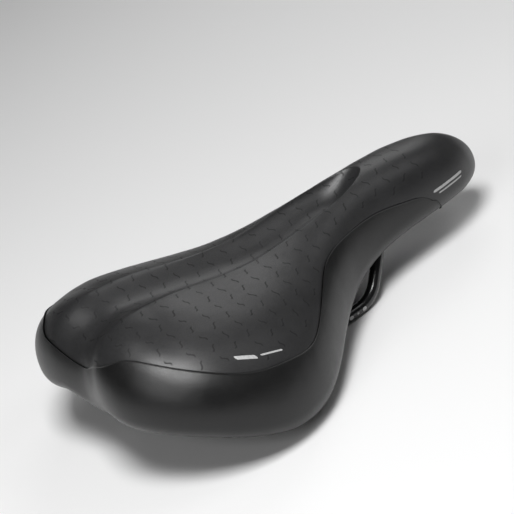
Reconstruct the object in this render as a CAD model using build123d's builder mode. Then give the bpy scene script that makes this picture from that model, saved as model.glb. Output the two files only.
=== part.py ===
from build123d import *
import math
import os

os.makedirs("parts", exist_ok=True)

# Bicycle saddle, millimetres. +X points to the nose, +Y to the rider's left, +Z up.
# The origin is the middle of the straight stretch of the rails, where a seat post clamps them.

# ---------------------------------------------------------------- driving dimensions
# Plan view: distance from the origin along X, and half widths at the widest line of the cover.
nose_tip_x = 155.5
nose_half_width = 25.0
nose_round = 32.0
nose_x = 92.0
neck_x = 60.0
neck_half_width = 26.0
waist_x = 2.0
waist_half_width = 56.0
wing_x = -60.0
wing_half_width = 87.5
tail_x = -124.5
tail_half_width = 31.0
notch_x = -114.0
notch_half_width = 30.0
notch_mouth_flare = 9.0

# Side view: height of the crest (the middle of the back, before the relief channel) and of the
# widest line, at the nose, the seat and the tail.
crest_nose_z = 52.0
crest_front_z = 62.3
crest_seat_z = 61.0
crest_rear_z = 77.5
crest_tail_z = 86.0
side_nose_z = 28.5
side_front_z = 31.0
side_wing_z = 14.5
side_rear_z = 31.0
side_tail_z = 43.0
edge_roll_height = 10.3
edge_roll_depth = 7.4
edge_crease = 0.008

# Relief channel along the middle of the back.
channel_front_x = 76.0
channel_rear_width = 44.0
channel_front_width = 27.0
channel_rear_depth = 6.5
channel_front_depth = 12.0
channel_end_length = 24.0

# Layers from the outside in.
cover_thickness = 1.2
seat_gap = 0.3
pad_side_thickness = 3.0
pad_depth = 26.0
pad_wrap = 1.0
shell_wall = 3.0
gel_thickness = 6.0
gel_length = 78.0
gel_width = 34.0
gel_x = wing_x - 6
gel_y = 0.54 * wing_half_width
gel_turn = 28.0

# Underside of the shell.
opening_top_z = 29.0
seam_rear_z = 46.0
seam_meet_x = -94.0
hem_width = 6.2
hem_widening = 0.10
hem_front_x = nose_tip_x - 38
lip_extra = 1.5
roof_fall = 2.6
rib_thickness = 2.2
rib_depth = 7.0
rib_bottom_z = 33.0
inner_rib_place = 0.3
outer_rib_nose_place = 0.55
outer_rib_wing_place = 0.74
cross_rib_pitch = 32.0
cross_rib_count = 5
cross_rib_front_x = 62.0
cross_rib_reach = 0.9
slot_length = 84.0
slot_width = 11.0
slot_x = -14.0
collar_wall = 2.2
window_width = 12.0
window_share = 0.34
window_place = 0.54

# Rails: one steel rod bent to shape, its two ends in the shell and its loop under the nose.
rod_diameter = 7.0
rail_spacing = 44.0
clamp_length = 72.0
rear_bend_radius = 20.0
front_bend_radius = 22.0
nose_bend_radius = 24.0
rail_end_x = -95.0
rail_end_y = 37.0
rail_end_z = 44.0
leg_top_x = 76.0
loop_x = 121.0
loop_z = 30.0
loop_spacing = 19.0
rod_fit = 0.1

# Sockets and the clip that hold the rod in the shell.
boss_diameter = 15.0
boss_length = 22.0
boss_floor = 3.0
nose_boss_length = 40.0
nose_boss_width = 31.0
nose_boss_wall = 3.0
clip_length = 19.0
clip_width = 31.0
clip_thickness = 2.0
clip_setback = 26.0
screw_pitch = 10.0
screw_shank_diameter = 4.0
screw_head_diameter = 7.0
screw_head_height = 2.6
screw_length = 13.0
screw_slot_width = 1.4
screw_slot_depth = 1.2
screw_hole_gap = 0.2
screw_tip_room = 1.0

rod_radius = rod_diameter / 2
rail_y = rail_spacing / 2
far = 400.0


# ---------------------------------------------------------------- lines of the form
def smooth_line(*points):
    """Return a function that reads a smooth curve through the points at a distance along X."""
    points = sorted(points)
    slopes = []
    for i in range(len(points)):
        a = points[max(i - 1, 0)]
        b = points[min(i + 1, len(points) - 1)]
        slopes.append((b[1] - a[1]) / (b[0] - a[0]))

    def height(x):
        i = 0
        while i < len(points) - 2 and x > points[i + 1][0]:
            i += 1
        (x0, y0), (x1, y1) = points[i], points[i + 1]
        span = x1 - x0
        t = (x - x0) / span
        rise = (3 - 2 * t) * t**2
        start = t * (1 - t) ** 2
        end = t**2 * (t - 1)
        return y0 + (y1 - y0) * rise + span * (slopes[i] * start + slopes[i + 1] * end)

    return height


side_plan = smooth_line(
    (nose_tip_x, nose_half_width * 0.9),
    (nose_x, nose_half_width),
    (neck_x, neck_half_width),
    ((neck_x + waist_x) / 2, (neck_half_width + waist_half_width) / 2 - 5),
    (waist_x, waist_half_width),
    ((waist_x + wing_x) / 2, (waist_half_width + wing_half_width) / 2 + 6),
    (wing_x, wing_half_width),
    ((wing_x + tail_x) / 2, wing_half_width - 8.5),
    (tail_x + 13, (wing_half_width + tail_half_width) / 2),
    (tail_x + 5, tail_half_width + 14),
    (tail_x, tail_half_width),
)
crest = smooth_line(
    (nose_tip_x, crest_nose_z),
    (nose_x, crest_front_z),
    ((nose_x + waist_x) / 2, (crest_front_z + crest_seat_z) / 2 + 1),
    (waist_x, crest_seat_z),
    (wing_x, (crest_seat_z + crest_rear_z) / 2),
    ((wing_x + tail_x) / 2, crest_rear_z),
    (tail_x, crest_tail_z),
)
side_line = smooth_line(
    (nose_tip_x, side_nose_z),
    (nose_x, side_front_z),
    (waist_x, (side_front_z + side_wing_z) / 2 - 5),
    (wing_x * 0.75, side_wing_z),
    ((wing_x + tail_x) / 2, side_rear_z - 4),
    (tail_x, side_tail_z),
)


def half_width(x):
    """Half width of the cover at its widest line, rounded off at the nose."""
    k = max((x - nose_tip_x + nose_round) / nose_round, 0)
    return side_plan(x) * (1 - k**1.7) ** 0.6


def end_fall(x):
    """Fraction of the crest's height left as the form closes at the nose and at the tail."""
    nose_start = nose_tip_x - 30
    tail_start = tail_x + 38
    k = max((x - nose_start) / (nose_tip_x - nose_start), (x - tail_start) / (tail_x - tail_start), 0)
    return max(1 - k**2.3, 0.002) ** (1 / 2.1)


def channel(x):
    """Half width and depth of the relief channel at a distance along X."""
    k = (x - tail_x) / (channel_front_x - tail_x)
    k = min(max(k, 0), 1)
    width = channel_rear_width + (channel_front_width - channel_rear_width) * min(1.6 * k, 1)
    depth = channel_rear_depth + (channel_front_depth - channel_rear_depth) * k
    close = min(max((channel_front_x - x) / channel_end_length, 0), 1)
    return width / 2, depth * math.sin(close * math.pi / 2)


# Stations along X where the form is drawn, closer together where it curves more.
stations = [
    nose_tip_x - 0.4,
    nose_tip_x - 3,
    nose_tip_x - 9,
    nose_tip_x - 21,
    (nose_tip_x + nose_x) / 2 - 8,
    nose_x,
    channel_front_x,
    channel_front_x - channel_end_length / 2,
    channel_front_x - channel_end_length,
    (neck_x + waist_x) / 2,
    waist_x,
    (waist_x + wing_x) / 2,
    wing_x,
    (wing_x + tail_x) / 2,
    tail_x + 20,
    tail_x + 11,
    tail_x + 5,
    tail_x + 1.5,
    tail_x + 0.3,
]
mid_x = (nose_tip_x + tail_x) / 2
half_length = (nose_tip_x - tail_x) / 2


def notch_block(inset):
    """Upright block that parts the two tail lobes; inset moves its wall into the form."""
    mouth_x = tail_x - 6
    side = notch_half_width + inset
    with BuildPart() as block:
        with BuildSketch(Plane.XY.offset(-far / 8)):
            with BuildLine():
                wall = Spline(
                    (mouth_x, side + notch_mouth_flare),
                    (tail_x + 0.2 * (notch_x - tail_x), 0.8 * side),
                    (notch_x + inset, 0),
                    (tail_x + 0.2 * (notch_x - tail_x), -0.8 * side),
                    (mouth_x, -side - notch_mouth_flare),
                )
                Line(wall @ 1, wall @ 0)
            make_face()
        extrude(amount=far / 2)
    return block.part


def padded_form(inset, drop, lift, relief):
    """Closed saddle form, drawn in from the cover's outside.

    inset is taken off the sides and ends, drop off the back, lift off the underside, and
    relief is the share of the channel's depth that the form keeps.
    """
    parting = notch_block(inset)
    sections = []
    for x in stations:
        w = half_width(x)
        w = w * w / (w + inset)
        z_side = side_line(x)
        rise = (crest(x) - z_side) * end_fall(x)
        rise = rise * rise / (rise + drop)
        roll_h = (edge_roll_height - lift) * min(1, end_fall(x) + 0.1)
        roll_d = min(edge_roll_depth, 0.6 * w)
        rim, dip = channel(x)
        rim = min(rim, 0.55 * w)
        dip = max(dip * relief * end_fall(x), edge_crease * rim)
        # Height and slope of the round crown where the channel's rim cuts it.
        g = rim / w
        rim_z = z_side + rise * (1 - g**2.4) ** (1 / 2.1)
        slope = rise * (2.4 / 2.1) * g**1.4 * (1 - g**2.4) ** (1 / 2.1 - 1) / w
        reach = 0.42 * (w - rim)
        floor_z = rim_z + slope * rim / 2 - dip * 4 / 3
        low_z = z_side - roll_h
        foot = w - roll_d
        flank = [
            (w, z_side),
            (w - edge_crease * w, z_side + 0.62 * (rim_z - z_side)),
            (rim + reach, rim_z - slope * reach),
            (rim, rim_z),
        ]
        roll = [
            (w, z_side),
            (w - edge_crease * w, z_side - 0.6 * roll_h),
            (foot + 0.5 * roll_d, low_z),
            (foot, low_z),
        ]
        place = mid_x + (x - mid_x) * (half_length - inset) / half_length
        with BuildLine(Plane(origin=(place, 0, 0), x_dir=(0, 1, 0), z_dir=(1, 0, 0))) as ring:
            Bezier(*flank)
            Bezier((rim, rim_z), (rim / 2, floor_z), (-rim / 2, floor_z), (-rim, rim_z))
            Bezier(*[(-y, z) for y, z in reversed(flank)])
            Bezier(*[(-y, z) for y, z in roll])
            Line((-foot, low_z), (foot, low_z))
            Bezier(*reversed(roll))
        sections.append(Face(ring.wire()))
    with BuildPart() as form:
        loft(sections, clean=False)
        add(parting, mode=Mode.SUBTRACT, clean=False)
    return form.part


def hem_edge(extra=0.0):
    """Plan outline of the opening in the underside, inside the turned-under hem."""
    points = []
    for x in (hem_front_x, nose_x, neck_x, (neck_x + waist_x) / 2, waist_x, wing_x / 2, wing_x):
        w = half_width(x)
        points.append((x, w - hem_width - hem_widening * (w - nose_half_width) - extra))
    rear_margin = hem_width + hem_widening * wing_half_width + extra
    points.append((tail_x + 1.5 * rear_margin + 12, wing_half_width - 2.1 * rear_margin))
    points.append((tail_x + 1.5 * rear_margin, tail_half_width))
    front = (nose_tip_x - 2.2 * hem_width - extra, 0)
    back = (notch_x + 1.5 * rear_margin, 0)
    mirrored = [(x, -y) for x, y in reversed(points)]
    return Spline(front, *points, back, *mirrored, periodic=True)


def opening_block(extra=0.0):
    """Upright block that opens the underside of a layer from far below to inside its hollow."""
    with BuildPart() as block:
        with BuildSketch(Plane.XY.offset(-far / 8)):
            with BuildLine():
                hem_edge(extra)
            make_face()
        extrude(amount=far / 8 + opening_top_z)
    return block.part


# ---------------------------------------------------------------- nested forms
cover_form = padded_form(0, 0, 0, 1)
cover_inside = padded_form(cover_thickness, cover_thickness, cover_thickness, 1)
pad_inset = cover_thickness + seat_gap
pad_form = padded_form(pad_inset, pad_inset, pad_inset, 1)
shell_inset = pad_inset + pad_side_thickness
shell_lift = pad_inset + pad_wrap
shell_form = padded_form(shell_inset, pad_depth, shell_lift, 0)
shell_inside = padded_form(
    shell_inset + shell_wall,
    pad_depth + roof_fall * shell_wall,
    shell_lift + shell_wall,
    0,
)
# The space that the ribs on the shell's roof leave free.
rib_floor = padded_form(
    shell_inset + shell_wall,
    pad_depth + roof_fall * (shell_wall + rib_depth),
    shell_lift + shell_wall,
    0,
)

# The seam between the printed top panel and the plain skirt panel of the cover: from under the
# nose along each side, and round the back of both lobes.
seam_side = [
    (nose_tip_x - 40, 15),
    (107, 28.2),
    (94.6, 37.9),
    (76, 43.3),
    (43, 47.4),
    (20.5, 46.9),
    (waist_x, 42.4),
    (-23.6, 35.8),
    (-46.7, 40.3),
    (-80, 53.2),
    (seam_meet_x, 62),
]
seam_rear = [(wing_x, -81), (-80, -73.8), (-99.5, -54.8), (-110.6, -38.9), (-116.6, -25), (-113.5, -12), (-111, 0)]
with BuildPart() as skirt_zone:
    with BuildSketch(Plane.XZ):
        with BuildLine():
            Spline(*seam_side)
            Polyline(
                seam_side[-1],
                (seam_meet_x, seam_rear_z),
                (-far / 2, seam_rear_z),
                (-far / 2, -far / 8),
                (seam_side[0][0], -far / 8),
                seam_side[0],
            )
        make_face()
    extrude(amount=far / 2, both=True)
    with BuildSketch(Plane.XY.offset(-far / 8)):
        with BuildLine():
            rear = Spline(*seam_rear, *[(x, -y) for x, y in reversed(seam_rear[:-1])])
            Polyline(
                rear @ 1,
                (wing_x, far / 2),
                (-far / 2, far / 2),
                (-far / 2, -far / 2),
                (wing_x, -far / 2),
                rear @ 0,
            )
        make_face()
    extrude(amount=far / 2)

# ---------------------------------------------------------------- cover
cover_opening = opening_block()
with BuildPart() as cover_skin:
    add(cover_form)
    add(cover_inside, mode=Mode.SUBTRACT, clean=False)
    add(cover_opening, mode=Mode.SUBTRACT, clean=False)

with BuildPart() as cover_top_panel:
    add(cover_skin.part)
    add(skirt_zone.part, mode=Mode.SUBTRACT, clean=False)
cover_top_panel.part.label = "cover_top_panel"

with BuildPart() as cover_skirt_panel:
    add(cover_skin.part)
    add(skirt_zone.part, mode=Mode.INTERSECT, clean=False)
cover_skirt_panel.part.label = "cover_skirt_panel"

# ---------------------------------------------------------------- gel inserts and foam pad
gel_top = pad_form.moved(Location((0, 0, -seat_gap)))
gel_bottom = pad_form.moved(Location((0, 0, -seat_gap - gel_thickness)))
gel_inserts = []
for side, name in ((1, "gel_insert_left"), (-1, "gel_insert_right")):
    with BuildPart() as gel:
        with BuildSketch(Plane((gel_x, side * gel_y, 0)).rotated((0, 0, -side * gel_turn))):
            Ellipse(gel_length / 2, gel_width / 2)
        extrude(amount=far / 4)
        add(gel_top, mode=Mode.INTERSECT, clean=False)
        add(gel_bottom, mode=Mode.SUBTRACT, clean=False)
    gel.part.label = name
    gel_inserts.append(gel.part)

with BuildPart() as gel_pockets:
    for side in (1, -1):
        with BuildSketch(Plane((gel_x, side * gel_y, 0)).rotated((0, 0, -side * gel_turn))):
            Ellipse(gel_length / 2 + seat_gap, gel_width / 2 + seat_gap)
        extrude(amount=far / 4)
    add(pad_form.moved(Location((0, 0, -2 * seat_gap - gel_thickness))), mode=Mode.SUBTRACT, clean=False)

pad_opening = opening_block(-lip_extra / 2)
with BuildPart() as foam_pad:
    add(pad_form)
    add(shell_form, mode=Mode.SUBTRACT, clean=False)
    add(gel_pockets.part, mode=Mode.SUBTRACT, clean=False)
    add(pad_opening, mode=Mode.SUBTRACT, clean=False)
foam_pad.part.label = "foam_pad"

# ---------------------------------------------------------------- rails
def clamp_corner(toward, radius):
    """Corner of the route beyond the straight stretch, whose bend starts where the stretch ends."""
    sign = math.copysign(1, toward.X)
    corner = Vector(sign * clamp_length / 2, rail_y, 0)
    for _ in range(12):
        turn = math.radians((toward - corner).get_angle(Vector(sign, 0, 0)))
        corner = Vector(sign * (clamp_length / 2 + radius * math.tan(turn / 2)), rail_y, 0)
    return corner


rail_end = Vector(rail_end_x, rail_end_y, rail_end_z)
leg_top = Vector(leg_top_x, loop_spacing / 2, loop_z)
clamp_rear = clamp_corner(rail_end, rear_bend_radius)
clamp_front = clamp_corner(leg_top, front_bend_radius)
loop_corner = Vector(loop_x, loop_spacing / 2, loop_z)
half_route = [rail_end, clamp_rear, clamp_front, leg_top, loop_corner]
route = half_route + [Vector(p.X, -p.Y, p.Z) for p in reversed(half_route)]
loop_radius = loop_spacing / 2 - 0.2
bends = [rear_bend_radius, front_bend_radius, nose_bend_radius, loop_radius]
bends = bends + bends[::-1]


def rod(radius):
    """The bent rod, or the same route with a larger radius for its seats."""
    with BuildPart() as bar:
        with BuildLine():
            path = FilletPolyline(*route, radius=bends)
        with BuildSketch(Plane(path @ 0, z_dir=path % 0)):
            Circle(radius)
        sweep()
    return bar.part


rails = rod(rod_radius)
rails.label = "rails"
rail_seat = rod(rod_radius + rod_fit)

# ---------------------------------------------------------------- base shell
nose_boss_front_x = loop_x + rod_radius + nose_boss_wall
clip_x = nose_boss_front_x - clip_setback
clip_z = loop_z
screw_x = [clip_x - screw_pitch / 2, clip_x + screw_pitch / 2]

rib_end_x = rail_end_x - 4
cross_rib_x = [cross_rib_front_x - i * cross_rib_pitch for i in range(cross_rib_count)]
window_x = [cross_rib_x[-1] + cross_rib_pitch / 2, cross_rib_x[-2] + cross_rib_pitch / 2]


def rib_line(side, nose_place, wing_place, shift):
    """Plan points of one edge of a rib whose share of the half width changes from nose to wing."""
    points = []
    for x in (hem_front_x, nose_x, neck_x, (neck_x + waist_x) / 2, waist_x, wing_x / 2, wing_x, rib_end_x):
        spread = min(max((neck_x - x) / (neck_x - wing_x), 0), 1)
        place = nose_place + (wing_place - nose_place) * spread
        points.append((x, side * place * half_width(x) + shift))
    return points


shell_opening = opening_block(lip_extra)
rail_direction = (rail_end - clamp_rear).normalized()
with BuildPart() as rib_plates:
    # Long ribs that spread with the wings, and a row of cross ribs.
    rib_places = ((inner_rib_place, inner_rib_place), (outer_rib_nose_place, outer_rib_wing_place))
    for nose_place, wing_place in rib_places:
        for side in (1, -1):
            with BuildSketch(Plane.XY.offset(rib_bottom_z)):
                with BuildLine():
                    outer = Spline(*rib_line(side, nose_place, wing_place, rib_thickness / 2))
                    inner = Spline(*rib_line(side, nose_place, wing_place, -rib_thickness / 2))
                    Line(outer @ 0, inner @ 0)
                    Line(outer @ 1, inner @ 1)
                make_face()
            extrude(amount=far / 4)
    for x in cross_rib_x:
        with BuildSketch(Plane((x, 0, rib_bottom_z), x_dir=(0, 1, 0), z_dir=(1, 0, 0))):
            Rectangle(2 * cross_rib_reach * half_width(x), far / 4, align=(Align.CENTER, Align.MIN))
        extrude(amount=rib_thickness / 2, both=True)
    # Collar round the relief slot.
    with BuildSketch(Plane.XY.offset(rib_bottom_z)):
        with Locations((slot_x, 0)):
            SlotOverall(slot_length + 2 * collar_wall, slot_width + 2 * collar_wall)
    extrude(amount=far / 4)

with BuildPart() as mounts:
    # Blind sockets for the two ends of the rod, each on a web from the roof.
    for side in (1, -1):
        end = Vector(rail_end.X, side * rail_end.Y, rail_end.Z)
        along = Vector(rail_direction.X, side * rail_direction.Y, rail_direction.Z)
        with BuildSketch(Plane(end + along * boss_floor, z_dir=-along)):
            Circle(boss_diameter / 2)
        extrude(amount=boss_length + boss_floor)
        with BuildSketch(Plane(end - along * boss_length / 2, x_dir=along, z_dir=along.cross(Vector(0, 0, 1)))):
            Rectangle(boss_length, crest_rear_z, align=(Align.CENTER, Align.MIN))
        extrude(amount=rib_thickness, both=True)
    # Block under the nose that takes the rod's loop and the screws of the clip.
    with BuildSketch(Plane.XY.offset(loop_z)):
        with Locations((nose_boss_front_x, 0)):
            Rectangle(nose_boss_length, nose_boss_width, align=(Align.MAX, Align.CENTER))
    extrude(amount=far / 4)

with BuildPart() as ribs:
    add(rib_plates.part)
    add(rib_floor, mode=Mode.SUBTRACT, clean=False)
    add(shell_form, mode=Mode.INTERSECT, clean=False)

with BuildPart() as rail_mounts:
    add(mounts.part)
    add(shell_form, mode=Mode.INTERSECT, clean=False)

with BuildPart() as base_shell:
    add(shell_form)
    add(shell_inside, mode=Mode.SUBTRACT, clean=False)
    add(shell_opening, mode=Mode.SUBTRACT, clean=False)
    add(ribs.part, clean=False)
    add(rail_mounts.part, clean=False)
    # Relief slot under the channel, and windows between the ribs that let the wings flex.
    with BuildSketch(Plane.XY.offset(opening_top_z)):
        with Locations((slot_x, 0)):
            SlotOverall(slot_length, slot_width)
        for x in window_x:
            w = half_width(x)
            with Locations((x, window_place * w), (x, -window_place * w)):
                SlotOverall(window_share * w, window_width, rotation=90)
    extrude(amount=far / 4, mode=Mode.SUBTRACT, clean=False)
    add(rail_seat, mode=Mode.SUBTRACT, clean=False)
    # Pilot holes for the clip's screws.
    with BuildSketch(Plane.XY.offset(clip_z)):
        with Locations(*[(x, 0) for x in screw_x]):
            Circle(screw_shank_diameter / 2)
    extrude(amount=screw_length + screw_tip_room, mode=Mode.SUBTRACT, clean=False)
base_shell.part.label = "base_shell"

# ---------------------------------------------------------------- clip that holds the loop
groove_radius = rod_radius + rod_fit
groove_y = loop_spacing / 2
with BuildPart() as nose_clip:
    # Pressed strip: flat against the block, and bent round both legs of the rod.
    with BuildSketch(Plane(origin=(clip_x - clip_length / 2, 0, clip_z), x_dir=(0, 1, 0), z_dir=(1, 0, 0))):
        Rectangle(clip_width, clip_thickness, align=(Align.CENTER, Align.MAX))
        with Locations((groove_y, 0), (-groove_y, 0)):
            Circle(groove_radius + clip_thickness)
        with Locations((groove_y, 0), (-groove_y, 0)):
            Circle(groove_radius, mode=Mode.SUBTRACT)
        Rectangle(2 * clip_width, clip_width, align=(Align.CENTER, Align.MIN), mode=Mode.SUBTRACT)
    extrude(amount=clip_length)
    with BuildSketch(Plane.XY.offset(clip_z)):
        with Locations(*[(x, 0) for x in screw_x]):
            Circle(screw_shank_diameter / 2 + screw_hole_gap)
    extrude(amount=-clip_thickness, mode=Mode.SUBTRACT)
nose_clip.part.label = "nose_clip"

# ---------------------------------------------------------------- screws
screws = []
for x, name in zip(screw_x, ("nose_screw_rear", "nose_screw_front")):
    head_z = clip_z - clip_thickness
    with BuildPart() as screw:
        with BuildSketch(Plane.XZ.shift_origin((x, 0, 0))):
            with BuildLine():
                dome = ThreePointArc(
                    (0, head_z - screw_head_height),
                    (screw_head_diameter * 0.32, head_z - screw_head_height * 0.8),
                    (screw_head_diameter / 2, head_z - screw_head_height * 0.25),
                )
                Polyline(
                    dome @ 1,
                    (screw_head_diameter / 2, head_z),
                    (screw_shank_diameter / 2, head_z),
                    (screw_shank_diameter / 2, head_z + screw_length - screw_shank_diameter / 2),
                    (0, head_z + screw_length),
                    (0, head_z - screw_head_height),
                )
            make_face()
        revolve(axis=Axis((x, 0, 0), (0, 0, 1)))
        with BuildSketch(Plane.XY.offset(head_z - 2 * screw_head_height)):
            with Locations((x, 0)):
                Rectangle(screw_head_diameter * 0.6, screw_slot_width)
                Rectangle(screw_slot_width, screw_head_diameter * 0.6)
        extrude(amount=screw_head_height + screw_slot_depth, mode=Mode.SUBTRACT)
    screw.part.label = name
    screws.append(screw.part)

# ---------------------------------------------------------------- write the pieces
pieces = [
    cover_top_panel.part,
    cover_skirt_panel.part,
    foam_pad.part,
    *gel_inserts,
    base_shell.part,
    rails,
    nose_clip.part,
    *screws,
]
for piece in pieces:
    export_step(piece, f"parts/{piece.label}.step")
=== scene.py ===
import math

import bmesh
import bpy
import numpy as np
from mathutils import Matrix, Vector
from mathutils.bvhtree import BVHTree


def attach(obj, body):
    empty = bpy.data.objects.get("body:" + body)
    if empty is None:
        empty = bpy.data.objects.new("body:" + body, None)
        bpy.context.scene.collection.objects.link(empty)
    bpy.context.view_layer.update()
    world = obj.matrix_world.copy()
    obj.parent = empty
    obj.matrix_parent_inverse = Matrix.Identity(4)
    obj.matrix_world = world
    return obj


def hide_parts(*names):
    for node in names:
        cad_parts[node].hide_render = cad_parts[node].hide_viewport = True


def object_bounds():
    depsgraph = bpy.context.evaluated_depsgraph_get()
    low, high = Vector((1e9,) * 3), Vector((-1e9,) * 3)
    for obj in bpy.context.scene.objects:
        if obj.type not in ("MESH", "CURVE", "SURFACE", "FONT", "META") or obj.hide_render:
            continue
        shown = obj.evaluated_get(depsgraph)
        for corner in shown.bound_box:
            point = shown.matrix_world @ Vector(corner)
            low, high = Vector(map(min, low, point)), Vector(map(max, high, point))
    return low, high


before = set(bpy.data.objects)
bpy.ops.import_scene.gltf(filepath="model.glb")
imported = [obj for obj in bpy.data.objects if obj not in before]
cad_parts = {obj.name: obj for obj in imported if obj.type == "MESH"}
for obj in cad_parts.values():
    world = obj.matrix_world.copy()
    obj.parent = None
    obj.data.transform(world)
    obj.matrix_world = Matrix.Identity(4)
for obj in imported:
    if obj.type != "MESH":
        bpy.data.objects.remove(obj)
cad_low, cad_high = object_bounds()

# Bicycle saddle. The form's dimensions are in millimetres and meshes are written in metres.
MM = 0.001

# ------------------------------------------------------------ driving dimensions
# OUTLINE, CREST, WIDEST, ARCH, the spine, the edge roll, part of SQUARENESS, about half of SEAM and
# the camera hold values printed by fitting programs, unchanged or shifted, and most channel
# values started from one. The stripes and dots were placed near points that another program cast on
# the form. report.md lists them under "Rule not kept".
#
# Half of the cover's widest line, from the nose round to the notch in the tail:
# (x, distance from the middle).
OUTLINE = [
    (155.5, 0), (148.5, 11.1), (127.5, 21.6), (92, 24.9), (62, 25.7), (32, 35), (2, 55.8),
    (-28, 78.1), (-60, 87.5), (-91.8, 80.2), (-113.2, 61.3), (-123.3, 40), (-123.2, 20),
    (-120.4, 0),
]
# Distance between the two readings that give the outline's direction, in its own measure.
OUTLINE_STEP = 0.02
# Height of the middle of the back, before the channel, and of the widest line, along X.
CREST = [(-128, 91), (-95, 81.5), (-55, 71.5), (-10, 61.2), (40, 62.8), (95, 61.8), (152, 51.9)]
WIDEST = [(-130, 43.6), (-100, 32.8), (-60, 16), (0, 17.2), (70, 31), (152, 28.5)]
# How square the section is, by share of the way round the half outline: low falls away from the
# spine at once, high is flat on top with round shoulders. ARCH rounds the shoulder.
SQUARENESS = [(0.12, 2.3), (0.38, 2.4), (0.66, 2.2), (0.76, 1.8), (0.86, 1.85), (1, 2.3)]
ARCH = 2.1
# How far the widest line rises into the notch in the tail, and from what share of the outline on.
NOTCH_RISE = 4
NOTCH_START = 0.85
# The spine is the middle line that every section starts from.
SPINE_FRONT = 125.5
SPINE_REAR = -80.2
SPINE_BEND = 1.35
# Rolled edge under the widest line, then the hem: turned in, wider on the wings, and sagging at the
# tail far enough to cover the shell's lip.
ROLL_HEIGHT = 10.3
ROLL_DEPTH = 7.4
HEM_WIDTH = 1.0
HEM_WIDENING = 0.1
HEM_WIDENING_FROM = 25
HEM_TURN = 1.4
HEM_SAG = 2.9
HEM_SAG_LINE = [(-95, 1), (-70, 0)]

# Relief channel: half width, depth and softness of the rim, along X.
CHANNEL_FRONT = 77.5
CHANNEL_END = 44.0
CHANNEL_WIDTH = [(-120, 24), (-60, 20.5), (0, 16), (50, 14.5), (75, 14)]
CHANNEL_DEPTH = [(-130, 7.8), (-70, 9.6), (-20, 10), (60, 12.8)]
CHANNEL_RIM = [(-120, 2.1), (-60, 1.6), (0, 0.85), (75, 0.75)]
CHANNEL_DEEPENING = 1.6

# The seam: share of the way round the half outline, and where it crosses that row of the surface,
# from the spine (0) over the widest line (1) and the rolled edge (2) to the end of the hem (3).
SEAM = [
    (0.158, 3), (0.163, 2.3), (0.169, 1.65), (0.176, 1.23), (0.190, 0.97), (0.204, 0.895),
    (0.226, 0.842), (0.285, 0.737), (0.345, 0.662), (0.39, 0.615), (0.42, 0.613), (0.459, 0.669),
    (0.513, 0.737), (0.548, 0.757), (0.601, 0.729), (0.671, 0.705), (0.73, 0.64), (0.80, 0.586),
    (0.845, 0.592), (0.882, 0.654), (0.94, 0.73), (1, 0.745),
]
# Crease along the seam, the skirt's step above it, and how deep both edges are tucked in.
GROOVE_WIDTH = 0.5
GROOVE_DEPTH = 0.13
SKIRT_GROOVE_SHARE = 0.6
SKIRT_STEP = 0.12
SKIRT_STEP_FADE = 7
SEAM_TUCK = 0.5
SEAM_EASE = 0.01

# Grid of each panel: columns along the outline before, round and after the start of the seam, and
# rows, drawn closer together towards the seam.
FRONT_COLUMNS, SEAM_COLUMNS, REAR_COLUMNS = 90, 50, 380
SEAM_COLUMNS_END = 0.2
TOP_ROWS, SKIRT_ROWS = 170, 110
ROW_CROWDING = 1.5
WELD_DISTANCE = 0.02

# Unevenness of the stretched cover: (wave length, height from trough to crest), and the number of
# waves of each.
FOLDS = [(55, 0.16), (31, 0.09), (17, 0.045), (9, 0.02)]
FOLD_WAVES = 4
SKIRT_FOLD_SHARE = 0.6
TOP_SEED, SKIRT_SEED, DASH_SEED = 3, 5, 11


# ------------------------------------------------------------ lines and surfaces
def spline(knots, values, closed=False):
    """Cubic spline through values at knots: a function of an array."""
    t = np.asarray(knots, float)
    v = np.asarray(values, float)
    n, h = len(t), np.diff(t)
    a = np.zeros((n, n))
    b = np.zeros((n, v.shape[1]))
    for i in range(1, n - 1):
        a[i, i - 1 : i + 2] = h[i - 1], 2 * (h[i - 1] + h[i]), h[i]
        b[i] = 6 * ((v[i + 1] - v[i]) / h[i] - (v[i] - v[i - 1]) / h[i - 1])
    if closed:
        a[0, 0], a[0, 1], a[0, n - 2] = 2 * (h[0] + h[-1]), h[0], h[-1]
        b[0] = 6 * ((v[1] - v[0]) / h[0] - (v[0] - v[n - 2]) / h[-1])
        a[-1, 0], a[-1, -1] = 1, -1
    else:
        a[0, 0] = a[-1, -1] = 1
    m = np.linalg.solve(a, b)

    def read(x):
        x = np.asarray(x, float)
        i = np.clip(np.searchsorted(t, x, side="right") - 1, 0, n - 2)
        w = h[i][..., None]
        p = (t[i + 1] - x)[..., None]
        q = (x - t[i])[..., None]
        cubic = (m[i] * p**3 + m[i + 1] * q**3) / (6 * w)
        return cubic + (v[i] / w - m[i] * w / 6) * p + (v[i + 1] / w - m[i + 1] * w / 6) * q

    return read


def height_line(points):
    read = spline([p[0] for p in points], [[p[1]] for p in points])
    return lambda x: read(x)[..., 0]


def straight_line(points):
    return lambda x: np.interp(x, [p[0] for p in points], [p[1] for p in points])


def eased_line(points):
    """Line through points that levels out at each of them."""
    knots = np.array([p[0] for p in points], float)
    values = np.array([p[1] for p in points], float)

    def read(x):
        i = np.clip(np.searchsorted(knots, x, side="right") - 1, 0, len(knots) - 2)
        t = np.clip((x - knots[i]) / (knots[i + 1] - knots[i]), 0, 1)
        return values[i] + (values[i + 1] - values[i]) * t * t * (3 - 2 * t)

    return read


crest = height_line(CREST)
widest = height_line(WIDEST)
squareness = eased_line(SQUARENESS)
channel_half_width = straight_line(CHANNEL_WIDTH)
channel_depth = straight_line(CHANNEL_DEPTH)
channel_rim = straight_line(CHANNEL_RIM)

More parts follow.
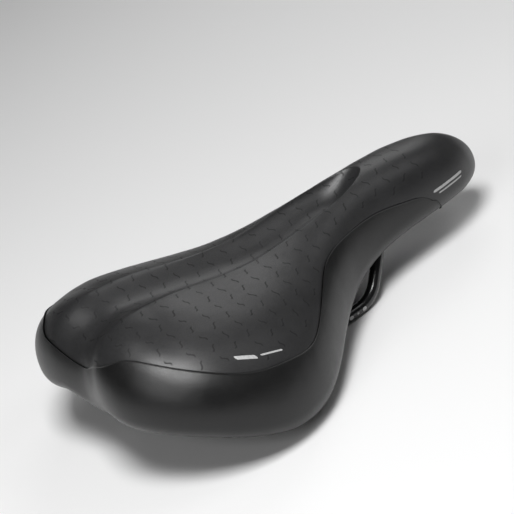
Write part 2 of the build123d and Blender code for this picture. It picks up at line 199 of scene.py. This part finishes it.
right_side = [(x, -y) for x, y in OUTLINE]
left_side = [(x, y) for x, y in OUTLINE[-2:0:-1]]
ring = np.array(right_side + left_side + right_side[:1], float)
ring_at = np.r_[0, np.cumsum(np.sqrt(np.hypot(*np.diff(ring, axis=0).T)))]
outline = spline(ring_at, ring, closed=True)
HALF = ring_at[len(OUTLINE) - 1]


def outline_frame(s):
    """Points of the widest line on the right side, and the outward direction there."""
    back = s - OUTLINE_STEP
    ahead = outline(s + OUTLINE_STEP)
    behind = outline(np.where(back > 0, back, back + ring_at[-1]))
    along = ahead - behind
    out = np.stack([-along[:, 1], along[:, 0]], -1)
    out /= np.linalg.norm(out, axis=1)[:, None]
    return outline(s), out


def channel(x, y):
    """How far the relief channel lies under the back."""
    end = np.clip((CHANNEL_FRONT - x) / CHANNEL_END, 0, 1)
    width = channel_half_width(x) * np.sqrt(1 - (1 - end) ** 2) + 1e-6
    across = np.clip(np.abs(y) / width, 0, 1)
    crease_painted_shade = np.sin(np.pi / 2 * np.minimum(1, CHANNEL_DEEPENING * end))
    return channel_depth(x) * crease_painted_shade * (1 - across**2) ** channel_rim(x)


def cover_surface(s, u):
    """Right half of the cover's outer surface: s along the widest line, u from the spine (0) over
    the widest line (1) and the rolled edge (2) to the end of the hem (3)."""
    edge, out = outline_frame(s)
    middle = (SPINE_FRONT + SPINE_REAR) / 2
    reach = (SPINE_FRONT - SPINE_REAR) / 2
    spine = middle + reach * np.tanh(SPINE_BEND * (edge[:, 0] - middle) / reach)
    spine = np.clip(spine, SPINE_REAR, SPINE_FRONT)
    notch = eased_line([(NOTCH_START, 0), (1, 1)])(s / HALF)
    rows = []
    for level in u:
        g = np.sin(np.pi / 2 * np.minimum(level, 1))
        x = spine + (edge[:, 0] - spine) * g
        y = edge[:, 1] * g
        side_z = widest(edge[:, 0]) + NOTCH_RISE * notch
        arch = (1 - g ** squareness(s / HALF)).clip(0) ** (1 / ARCH)
        top_z = side_z + (crest(x) - side_z) * arch - channel(x, y)
        roll = np.clip(level - 1, 0, 1) * np.pi / 2
        hem = np.clip(level - 2, 0, 1)
        wide = HEM_WIDTH + HEM_WIDENING * (-edge[:, 1] - HEM_WIDENING_FROM).clip(0)
        inward = ROLL_DEPTH * (1 - np.cos(roll)) + wide * hem
        drop = ROLL_HEIGHT * np.sin(roll) - HEM_TURN * np.clip(level - 3, 0, 1)
        drop += HEM_SAG * hem * eased_line(HEM_SAG_LINE)(edge[:, 0])
        rows.append(np.column_stack([x - out[:, 0] * inward, y - out[:, 1] * inward, top_z - drop]))
    return np.array(rows)


def outward_normals(grid):
    """Unit normals of a grid of points, pointing away from the form's inside."""
    down, along = np.gradient(grid, axis=0), np.gradient(grid, axis=1)
    normal = np.cross(down, along)
    length = np.linalg.norm(normal, axis=2, keepdims=True)
    normal = normal / np.maximum(length, 1e-9)
    middle = grid.shape[1] // 2
    if normal[grid.shape[0] // 4, middle, 2] < 0:
        normal = -normal
    return normal


def distance_down(grid):
    """Distance in mm along each column of a grid from its first row."""
    steps = np.linalg.norm(np.diff(grid, axis=0), axis=2)
    return np.vstack([np.zeros(grid.shape[1]), np.cumsum(steps, axis=0)])


def folds(grid, seed):
    """Small unevenness of stretched cover, in mm: broad waves and a few finer ones."""
    draw = np.random.default_rng(seed)
    height = np.zeros(grid.shape[:2])
    for wave, size in FOLDS:
        for _ in range(FOLD_WAVES):
            way = draw.normal(size=3)
            way /= np.linalg.norm(way)
            height += size * np.sin(2 * np.pi * (grid @ way) / wave + draw.uniform(0, 7))
    return height / 2


seam_level = height_line(SEAM)
SEAM_START = SEAM[0][0]


def seam_at(s):
    """Row of the surface where the seam crosses it; the end of the hem in front of the seam."""
    share = s / HALF
    level = seam_level(np.maximum(share, SEAM_START))
    return np.where(share < SEAM_START, 3.0, np.minimum(level, 3))


def half_grids():
    """Right halves of the top panel and the skirt panel, as grids of points in mm."""
    shares = np.r_[
        np.linspace(0, SEAM_START, FRONT_COLUMNS, endpoint=False),
        np.linspace(SEAM_START, SEAM_COLUMNS_END, SEAM_COLUMNS, endpoint=False),
        np.linspace(SEAM_COLUMNS_END, 1, REAR_COLUMNS),
    ]
    s = shares * HALF
    seam = seam_at(s)

    t = np.linspace(0, 1, TOP_ROWS)
    t = 1 - (1 - t) ** ROW_CROWDING
    top = cover_surface(s, t[:, None] * seam)
    normal = outward_normals(top)
    to_seam = distance_down(top)
    to_seam = to_seam[-1] - to_seam
    has_seam = np.clip((shares - SEAM_START) / SEAM_EASE, 0, 1)
    dip = GROOVE_DEPTH * np.exp(-((to_seam / GROOVE_WIDTH) ** 2)) * has_seam
    top = top + normal * (folds(top, TOP_SEED) - dip)[..., None]
    tuck = top[-1:] - normal[-1:] * (SEAM_TUCK * has_seam)[..., None]
    top = np.concatenate([top, tuck])

    start = len(shares[shares < SEAM_START])
    t = np.linspace(0, 1, SKIRT_ROWS) ** ROW_CROWDING
    levels = seam[start:] + t[:, None] * (3 - seam[start:])
    levels = np.vstack([levels, np.full(len(s) - start, 4.0)])
    skirt = cover_surface(s[start:], levels)
    normal = outward_normals(skirt)
    from_seam = distance_down(skirt)
    step = SKIRT_STEP * np.exp(-from_seam / SKIRT_STEP_FADE)
    edge_width = SKIRT_GROOVE_SHARE * GROOVE_WIDTH
    edge = (GROOVE_DEPTH + step) * np.exp(-((from_seam / edge_width) ** 2))
    rise = folds(skirt, SKIRT_SEED) * SKIRT_FOLD_SHARE + step - edge
    skirt = skirt + normal * rise[..., None]
    skirt = np.concatenate([skirt[:1] - normal[:1] * SEAM_TUCK, skirt])
    return top, skirt


def new_piece(name, points, faces):
    mesh = bpy.data.meshes.new(name)
    mesh.from_pydata(points, [], faces)
    piece = bpy.data.objects.new(name, mesh)
    bpy.context.scene.collection.objects.link(piece)
    return piece


def mirrored_mesh(name, grid):
    """Mesh object from the right half grid and its mirror image, joined along the middle."""
    rows, columns = grid.shape[:2]
    left = grid * (1, -1, 1)
    points = np.concatenate([grid.reshape(-1, 3), left.reshape(-1, 3)]) * MM
    index = np.arange(rows * columns).reshape(rows, columns)
    corners = [index[:-1, :-1], index[:-1, 1:], index[1:, 1:], index[1:, :-1]]
    quads = np.stack(corners, -1).reshape(-1, 4)
    faces = np.concatenate([quads, quads[:, ::-1] + rows * columns])
    piece = new_piece(name, points.tolist(), faces.tolist())
    join_close_points(piece.data)
    return piece


def join_close_points(mesh):
    """Weld points that fall together and shade the mesh smooth."""
    work = bmesh.new()
    work.from_mesh(mesh)
    bmesh.ops.remove_doubles(work, verts=work.verts, dist=WELD_DISTANCE * MM)
    bmesh.ops.recalc_face_normals(work, faces=work.faces)
    for face in work.faces:
        face.smooth = True
    work.to_mesh(mesh)
    work.free()


# ------------------------------------------------------------ materials
# Depths of the bump maps and the wobble of the leather's cells, in metres.
GRAIN_DEPTH = 0.00003
BUMP_DEPTH = 0.0001
CELL_WOBBLE = 0.0012
# Leather: width of the creases as a share of a cell, how much the pores add to the relief, and how
# far painted shade darkens the colour in the creases.
CREASE_WIDTH = 0.22
PORE_SHARE = 0.35
CREASE_PAINTED_SHADE = 0.5
# Brightness of a print where its ink is thin.
PRINT_THIN = 0.8


def new_material(name, colour, roughness, metal=0.0):
    material = bpy.data.materials.new(name)
    material.use_nodes = True
    tree = material.node_tree
    shader = tree.nodes["Principled BSDF"]
    shader.inputs["Base Color"].default_value = (*colour, 1)
    shader.inputs["Roughness"].default_value = roughness
    shader.inputs["Metallic"].default_value = metal
    return material, tree, shader


def node(tree, kind, **inputs):
    made = tree.nodes.new(kind)
    for name, value in inputs.items():
        made.inputs[name.replace("_", " ")].default_value = value
    return made


def object_place(tree):
    return tree.nodes.new("ShaderNodeTexCoord").outputs["Object"]


def noise(tree, place, **inputs):
    made = node(tree, "ShaderNodeTexNoise", **inputs)
    tree.links.new(place, made.inputs["Vector"])
    return made


def bump_from(tree, shader, height, strength, distance):
    bump = node(tree, "ShaderNodeBump", Strength=strength, Distance=distance)
    tree.links.new(height, bump.inputs["Height"])
    tree.links.new(bump.outputs[0], shader.inputs["Normal"])


def roughness_from(tree, shader, value, low, high):
    gloss = node(tree, "ShaderNodeMapRange", To_Min=low, To_Max=high)
    tree.links.new(value, gloss.inputs["Value"])
    tree.links.new(gloss.outputs[0], shader.inputs["Roughness"])


def colour_from(tree, value, low, high):
    """Colour that runs from one (position, colour) to another."""
    ramp = tree.nodes.new("ShaderNodeValToRGB")
    for stop, (position, colour) in zip(ramp.color_ramp.elements, (low, high)):
        stop.position = position
        stop.color = (*colour, 1)
    tree.links.new(value, ramp.inputs["Fac"])
    return ramp.outputs["Color"]


def leather(name, dark, light, roughness, grain, seed):
    """Synthetic leather: fine cells between creases darkened with painted shade, soft colour
    patches and uneven sheen.
    """
    material, tree, shader = new_material(name, dark, roughness)
    link = tree.links.new
    shift = node(tree, "ShaderNodeMapping", Location=(seed, seed * 1.7, 0.3 * seed))
    link(object_place(tree), shift.inputs["Vector"])
    place = shift.outputs[0]
    wobble = noise(tree, place, Scale=420.0, Detail=3.0)
    bent = node(tree, "ShaderNodeVectorMath")
    bent.operation = "MULTIPLY_ADD"
    bent.inputs[1].default_value = (CELL_WOBBLE,) * 3
    link(wobble.outputs["Color"], bent.inputs[0])
    link(place, bent.inputs[2])
    cells = node(tree, "ShaderNodeTexVoronoi", Scale=1 / (grain * MM))
    cells.feature = "DISTANCE_TO_EDGE"
    link(bent.outputs[0], cells.inputs["Vector"])
    crease = node(tree, "ShaderNodeMapRange")
    crease.interpolation_type = "SMOOTHSTEP"
    crease.inputs["From Max"].default_value = CREASE_WIDTH
    link(cells.outputs["Distance"], crease.inputs["Value"])
    pore = noise(tree, place, Scale=2600.0, Detail=2.0)
    relief = node(tree, "ShaderNodeMath")
    relief.operation = "MULTIPLY_ADD"
    relief.inputs[1].default_value = PORE_SHARE
    link(pore.outputs["Fac"], relief.inputs[0])
    link(crease.outputs[0], relief.inputs[2])
    bump_from(tree, shader, relief.outputs[0], 0.5, GRAIN_DEPTH)

    patches = noise(tree, place, Scale=38.0, Detail=5.0, Roughness=0.62)
    tint = colour_from(tree, patches.outputs["Fac"], (0.32, dark), (0.7, light))
    # Painted shade: the creases between the cells darken the base colour.
    crease_painted_shade = tree.nodes.new("ShaderNodeMix")
    crease_painted_shade.data_type = "RGBA"
    crease_painted_shade.blend_type = "MULTIPLY"
    crease_painted_shade.inputs["Factor"].default_value = CREASE_PAINTED_SHADE
    link(tint, crease_painted_shade.inputs[6])
    link(crease.outputs[0], crease_painted_shade.inputs[7])
    link(crease_painted_shade.outputs[2], shader.inputs["Base Color"])

    low, high = roughness - 0.07, roughness + 0.09
    roughness_from(tree, shader, patches.outputs["Fac"], low, high)
    shader.inputs["Specular IOR Level"].default_value = 0.5
    return material


def moulded_plastic(name, colour):
    """Polypropylene with a fine spark texture and faint flow marks."""
    material, tree, shader = new_material(name, colour, 0.55)
    place = object_place(tree)
    spark = noise(tree, place, Scale=1500.0, Detail=3.0)
    bump_from(tree, shader, spark.outputs["Fac"], 0.4, BUMP_DEPTH)
    flow = noise(tree, place, Scale=26.0, Detail=4.0)
    roughness_from(tree, shader, flow.outputs["Fac"], 0.42, 0.66)
    return material


def painted_rod(name, colour):
    """Gloss paint with orange peel, under a thin clear coat."""
    material, tree, shader = new_material(name, colour, 0.22)
    peel = noise(tree, object_place(tree), Scale=320.0, Detail=2.0)
    bump_from(tree, shader, peel.outputs["Fac"], 0.25, BUMP_DEPTH)
    roughness_from(tree, shader, peel.outputs["Fac"], 0.16, 0.32)
    shader.inputs["Coat Weight"].default_value = 0.3
    shader.inputs["Coat Roughness"].default_value = 0.1
    return material


def zinc(name):
    """Bright zinc plate with a brushed, slightly cloudy surface."""
    material, tree, shader = new_material(name, (0.55, 0.55, 0.57), 0.35, 1.0)
    stretch = node(tree, "ShaderNodeMapping", Scale=(60, 1400, 60))
    tree.links.new(object_place(tree), stretch.inputs["Vector"])
    lines = noise(tree, stretch.outputs[0], Scale=1.0, Detail=3.0)
    roughness_from(tree, shader, lines.outputs["Fac"], 0.25, 0.5)
    bump_from(tree, shader, lines.outputs["Fac"], 0.15, BUMP_DEPTH)
    return material


def dress(piece, material):
    piece.data.materials.clear()
    piece.data.materials.append(material)


# ------------------------------------------------------------ pieces
top_grid, skirt_grid = half_grids()
# Leathers: darkest and lightest colour, roughness, size of a cell (mm) and seed.
top_leather = leather("top_leather", (0.024, 0.024, 0.025), (0.034, 0.034, 0.035), 0.36, 0.5, 1)
# The skirt leather is about a third as bright as the top leather: painted shade for the sides that
# turn away from the lamps.
skirt_leather_painted_shade = leather(
    "skirt_leather_painted_shade", (0.007, 0.007, 0.0072), (0.011, 0.011, 0.0112), 0.34, 0.4, 2
)

cover_top = mirrored_mesh("cover_top", top_grid)
dress(cover_top, top_leather)
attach(cover_top, "root")
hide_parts("cover_top_panel", "foam_pad", "gel_insert_left", "gel_insert_right")

cover_skirt = mirrored_mesh("cover_skirt", skirt_grid)
dress(cover_skirt, skirt_leather_painted_shade)
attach(cover_skirt, "root")
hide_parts("cover_skirt_panel")


# ------------------------------------------------------------ embossed dashes
# The field: its rear end, its length, most rows on either side of the middle, and the distance that
# stays free along the seam.
DASH_FIELD_REAR = -118
DASH_FIELD_LENGTH = 235
DASH_ROWS = 14
DASH_MARGIN = 3
DASH_PITCH_X = 10.5
DASH_PITCH_ACROSS = 7.6
# Directions of neighbouring dashes, in degrees from +X.
DASH_TURNS = (-74, 53)
# Unevenness: of direction in radians, of place in mm, and of length as least and most share.
DASH_TURN_SPREAD = 0.1
DASH_PLACE_SPREAD = 0.4
DASH_LENGTH_SHARES = (0.85, 1.1)
# One dash: an S of this length, width and sway, higher in its middle than at its edges.
DASH_LENGTH = 5.4
DASH_WIDTH = 0.85
DASH_END_WIDTH = 0.02
DASH_SWAY = 0.55
DASH_RISE = 0.05
DASH_EDGE_RISE = 0.02
DASH_STEPS = 8
# No dash lies where the surface is steeper than this (z of its normal), or drops away under it.
DASH_STEEPEST = 0.4
DASH_DROP = 3
# The surface is read by rays from this height, in metres, and at these distances from the middle.
READ_FROM = 0.2
READ_REACH, READ_STEP = 90, 1.5


def surface_reader(piece):
    """Function that gives the height and normal of a piece's surface under a point, in mm."""
    corners = [tuple(v.co) for v in piece.data.vertices]
    tree = BVHTree.FromPolygons(corners, [tuple(p.vertices) for p in piece.data.polygons])

    def read(x, y):
        hit, normal, _, _ = tree.ray_cast(Vector((x * MM, y * MM, READ_FROM)), Vector((0, 0, -1)))
        if hit is None:
            return None
        return hit / MM, normal if normal.z > 0 else -normal

    return read


def across_table(read, x):
    """Distances over the surface from the middle out to its edge, and the y they belong to."""
    found = [(y, read(x, y)) for y in np.arange(0, READ_REACH, READ_STEP)]
    ys = [y for y, place in found if place]
    heights = [place[0].z for _, place in found if place]
    steps = np.hypot(np.diff(ys), np.diff(heights))
    return np.r_[0, np.cumsum(steps)], np.array(ys)


def make_dashes(read):
    """Rows of short S-shaped marks on the top panel, as thin dark strips just above it."""
    points, faces = [], []
    draw = np.random.default_rng(DASH_SEED)
    for i in range(int(DASH_FIELD_LENGTH / DASH_PITCH_X)):
        x = DASH_FIELD_REAR + i * DASH_PITCH_X
        reach, across = across_table(read, x)
        if len(across) < 3:
            continue
        for j in range(-DASH_ROWS, DASH_ROWS + 1):
            middle = (j + 0.5 * (i % 2)) * DASH_PITCH_ACROSS
            if abs(middle) > reach[-1] - DASH_MARGIN:
                continue
            turn = math.radians(DASH_TURNS[(i + j) % 2]) + draw.normal(0, DASH_TURN_SPREAD)
            y = math.copysign(np.interp(abs(middle), reach, across), middle)
            x_here = x + draw.normal(0, DASH_PLACE_SPREAD)
            length = DASH_LENGTH * draw.uniform(*DASH_LENGTH_SHARES)
            add_dash(points, faces, read, x_here, y, turn, length)
    piece = new_piece("dashes", points, faces)
    for face in piece.data.polygons:
        face.use_smooth = True
    return piece


def add_dash(points, faces, read, x, y, turn, length):
    """Add one dash to the lists, unless it would hang over an edge."""
    centre = read(x, y)
    if not centre:
        return
    normal = centre[1]
    if normal.z < DASH_STEEPEST:
        return
    along = Vector((math.cos(turn), math.sin(turn), 0))
    along = (along - normal * along.dot(normal)).normalized()
    side = normal.cross(along)
    strip = []
    for k in range(DASH_STEPS + 1):
        t = k / DASH_STEPS - 0.5
        sway = DASH_SWAY * math.sin(2 * math.pi * t)
        half = DASH_WIDTH / 2 * (1 - (2 * abs(t)) ** 6) ** 0.5 + DASH_END_WIDTH
        for edge in (-half, 0, half):
            at = centre[0] + along * (t * length) + side * (sway + edge)
            found = read(at.x, at.y)
            if not found or abs(found[0].z - at.z) > DASH_DROP:
                return
            lift = DASH_RISE if edge == 0 else DASH_EDGE_RISE
            strip.append((found[0] + found[1] * lift) * MM)
    first = len(points)
    points.extend(tuple(p) for p in strip)
    for k in range(DASH_STEPS):
        a = first + 3 * k
        faces.append((a, a + 3, a + 4, a + 1))
        faces.append((a + 1, a + 4, a + 5, a + 2))


dash_leather = leather("dash_leather", (0.016, 0.016, 0.0165), (0.023, 0.023, 0.0235), 0.5, 0.5, 3)
dash_leather.node_tree.nodes["Principled BSDF"].inputs["Specular IOR Level"].default_value = 0.3
dashes = make_dashes(surface_reader(cover_top))
dress(dashes, dash_leather)
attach(dashes, "root")


# ------------------------------------------------------------ printed marks
# Plain stripes where the photo's saddle has prints: (start, end, direction across, width), in mm.
STRIPES = [
    ((104.5, -24.3, 36.5), (131, -20.6, 35.4), (0, 0, -1), 1.7),
    ((108, -24.2, 33.8), (129.5, -21, 32.9), (0, 0, -1), 1),
    ((-71, -72.5, 54.5), (-60.5, -75.2, 49.4), (0.2, -0.7, -0.7), 2.8),
    ((-58.5, -75, 48.6), (-46, -75, 43.6), (0.2, -0.7, -0.7), 1.1),
]
# Points along a stripe and to either side of its middle, how late its ends narrow, the least share
# of its width there, squared, and how far off the surface it starts before it is laid on.
STRIPE_STEPS = 32
STRIPE_SIDE_STEPS = 4
STRIPE_ROUNDING = 24
STRIPE_END = 0.05
STRIPE_HOVER = 3
# Dots of the clamp scale on the outside of each rail: (x, radius), in mm. RAIL_OUTSIDE is a place
# just outside the rod.
SCALE_DOTS = [(37.3, 1.5), (32.3, 0.8), (27.3, 1.5)]
DOT_RINGS = 4
DOT_SPOKES = 24
DOT_CENTRE = 0.01
RAIL_OUTSIDE = 26.5
# Prints stand this far off the surface, in metres.
PRINT_LIFT = 0.00006


def surface_tree(pieces):
    """Search tree over the surfaces of some pieces, in metres of the shared frame."""
    points, faces = [], []
    for piece in pieces:
        first = len(points)
        points.extend(piece.matrix_world @ v.co for v in piece.data.vertices)
        faces.extend(tuple(first + i for i in p.vertices) for p in piece.data.polygons)
    return BVHTree.FromPolygons(points, faces)


def laid_patch(tree, rows):
    """Points moved on to the nearest surface, just clear of it, and the quads between them."""
    points = []
    for row in rows:
        for place in row:
            hit, normal, _, _ = tree.find_nearest(place * MM)
            if normal.dot(place * MM - hit) < 0:
                normal = -normal
            points.append(hit + normal * PRINT_LIFT)
    wide = len(rows[0])
    faces = []
    for i in range(len(rows) - 1):
        for j in range(wide - 1):
            a = i * wide + j
            faces.append((a, a + wide, a + wide + 1, a + 1))
    return points, faces


def stripe_rows(start, end, across, width):
    """Rows of points over a stripe on the right side, just off the surface."""
    start, end = Vector(start), Vector(end)
    side = Vector(across).normalized() * width / 2
    outward = side.cross(end - start).normalized() * STRIPE_HOVER
    if outward.y > 0:
        outward = -outward
    rows = []
    for k in range(STRIPE_STEPS + 1):
        t = k / STRIPE_STEPS
        share = max(STRIPE_END, 1 - abs(2 * t - 1) ** STRIPE_ROUNDING) ** 0.5
        middle = start.lerp(end, t) + outward
        columns = range(-STRIPE_SIDE_STEPS, STRIPE_SIDE_STEPS + 1)
        rows.append([middle + side * share * j / STRIPE_SIDE_STEPS for j in columns])
    return rows


def dot_rows(x, radius, side):
    """Rings of points over a dot on the outside of a rail: side is -1 for the right, 1 for left."""
    angles = [2 * math.pi * i / DOT_SPOKES for i in range(DOT_SPOKES + 1)]
    rows = []
    for k in range(DOT_RINGS + 1):
        r = radius * k / DOT_RINGS + DOT_CENTRE
        y = side * RAIL_OUTSIDE
        rows.append([Vector((x + r * math.cos(a), y, r * math.sin(a))) for a in angles])
    return rows


def patches_piece(name, tree, patches):
    """One piece from several patches, each given as rows of points near the surface."""
    points, faces = [], []
    for rows in patches:
        some_points, some_faces = laid_patch(tree, rows)
        faces.extend(tuple(len(points) + i for i in face) for face in some_faces)
        points.extend(some_points)
    piece = new_piece(name, [tuple(p) for p in points], faces)
    join_close_points(piece.data)
    return piece


def print_ink(name, colour):
    """Matt screen print with slightly uneven cover."""
    material, tree, shader = new_material(name, colour, 0.5)
    cover = noise(tree, object_place(tree), Scale=900.0, Detail=3.0)
    thin = [PRINT_THIN * c for c in colour]
    tint = colour_from(tree, cover.outputs["Fac"], (0.3, thin), (0.6, colour))
    tree.links.new(tint, shader.inputs["Base Color"])
    return material


bpy.context.view_layer.update()
stripes = patches_piece(
    "stripes", surface_tree([cover_top, cover_skirt]), [stripe_rows(*stripe) for stripe in STRIPES]
)
dress(stripes, print_ink("pale_print", (0.55, 0.55, 0.55)))
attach(stripes, "root")
scale_dots = patches_piece(
    "scale_dots",
    surface_tree([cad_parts["rails"]]),
    [dot_rows(x, radius, side) for x, radius in SCALE_DOTS for side in (-1, 1)],
)
dress(scale_dots, print_ink("white_print", (0.75, 0.75, 0.75)))
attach(scale_dots, "root")

shell_plastic = moulded_plastic("shell_plastic", (0.022, 0.022, 0.023))
rail_paint = painted_rod("rail_paint", (0.012, 0.012, 0.013))
zinc_plate = zinc("zinc_plate")
finishes = {
    "base_shell": shell_plastic,
    "rails": rail_paint,
    "nose_clip": zinc_plate,
    "nose_screw_rear": zinc_plate,
    "nose_screw_front": zinc_plate,
}
for name, material in finishes.items():
    dress(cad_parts[name], material)


# ------------------------------------------------------------ floor, light and camera
# Side of the floor and its gap under the object, in metres, and its grey for rays that carry its
# light and for rays that show it.
FLOOR_SIZE = 8
FLOOR_GAP = 0.0005
FLOOR_LIT_GREY = 0.35
FLOOR_SEEN_GREY = 0.86
WORLD_STRENGTH = 0.04
# The camera's place, direction, roll, lens (mm) and shift (share of the sensor's width) come from
# the scratch fit.
EYE = Vector((-0.35728, -0.649435, 0.437489))
FORWARD = Vector((0.43349, 0.76651, -0.47387))
ROLL = math.radians(19.42)
SENSOR_WIDTH = 36
LENS = 109.1
SHIFT_X, SHIFT_Y = -0.0467, 0.0236
CLIP_START = 0.05


def seen_by_eye(tree):
    """1 for rays that show a thing itself or its mirror image, 0 for rays that carry its light."""
    path = tree.nodes.new("ShaderNodeLightPath")
    total = path.outputs["Is Camera Ray"]
    for kind in ("Is Glossy Ray", "Is Transmission Ray"):
        add = tree.nodes.new("ShaderNodeMath")
        add.operation = "MAXIMUM"
        tree.links.new(total, add.inputs[0])
        tree.links.new(path.outputs[kind], add.inputs[1])
        total = add.outputs[0]
    return total


def make_floor():
    bpy.ops.mesh.primitive_plane_add(size=FLOOR_SIZE, location=(0, 0, cad_low.z - FLOOR_GAP))
    floor = bpy.context.object
    floor.name = "floor"
    material, tree, shader = new_material("floor", (0.9, 0.9, 0.9), 0.9)
    tone = node(tree, "ShaderNodeMix")
    tone.data_type = "RGBA"
    tone.inputs[6].default_value = (*(FLOOR_LIT_GREY,) * 3, 1)
    tone.inputs[7].default_value = (*(FLOOR_SEEN_GREY,) * 3, 1)
    tree.links.new(seen_by_eye(tree), tone.inputs["Factor"])
    tree.links.new(tone.outputs[2], shader.inputs["Base Color"])
    shader.inputs["Specular IOR Level"].default_value = 0.0
    dress(floor, material)


def area_light(name, place, target, size, power):
    light = bpy.data.lights.new(name, "AREA")
    light.shape = "RECTANGLE"
    light.size, light.size_y = size
    light.energy = power
    lamp = bpy.data.objects.new(name, light)
    lamp.location = place
    lamp.rotation_mode = "QUATERNION"
    lamp.rotation_quaternion = (Vector(target) - Vector(place)).to_track_quat("-Z", "Y")
    bpy.context.scene.collection.objects.link(lamp)


def make_world(strength):
    world = bpy.data.worlds.new("studio")
    world.use_nodes = True
    background = world.node_tree.nodes["Background"]
    background.inputs["Color"].default_value = (1, 1, 1, 1)
    background.inputs["Strength"].default_value = strength
    bpy.context.scene.world = world


def make_camera():
    camera = bpy.data.objects.new("camera", bpy.data.cameras.new("camera"))
    level = FORWARD.cross(Vector((0, 0, 1))).normalized()
    upright = level.cross(FORWARD).normalized()
    across = math.cos(ROLL) * level - math.sin(ROLL) * upright
    up = math.sin(ROLL) * level + math.cos(ROLL) * upright
    turn = Matrix((across, up, -FORWARD.normalized())).transposed()
    camera.matrix_world = Matrix.Translation(EYE) @ turn.to_4x4()
    camera.data.sensor_width = SENSOR_WIDTH
    camera.data.lens = LENS
    camera.data.shift_x = SHIFT_X
    camera.data.shift_y = SHIFT_Y
    camera.data.clip_start = CLIP_START
    bpy.context.scene.collection.objects.link(camera)
    bpy.context.scene.camera = camera


make_floor()
# Name, place, target, size (metres) and power (watts): set by hand after a scratch fit to the
# photograph's tones.
area_light("overhead", (-0.24, -0.42, 1.12), (-0.06, -0.04, 0.05), (0.42, 0.42), 13)
area_light("right", (0.73, -0.42, 0.9), (0, 0, 0.05), (0.5, 0.5), 1.2)
area_light("left", (-0.9, -0.52, 0.65), (0, 0, 0.05), (0.5, 0.5), 3)
area_light("back", (0.75, 0.6, 0.75), (0, 0, 0.05), (0.6, 0.6), 2.2)
make_world(WORLD_STRENGTH)
make_camera()
bpy.context.scene.view_settings.view_transform = "Standard"

bpy.context.view_layer.update()
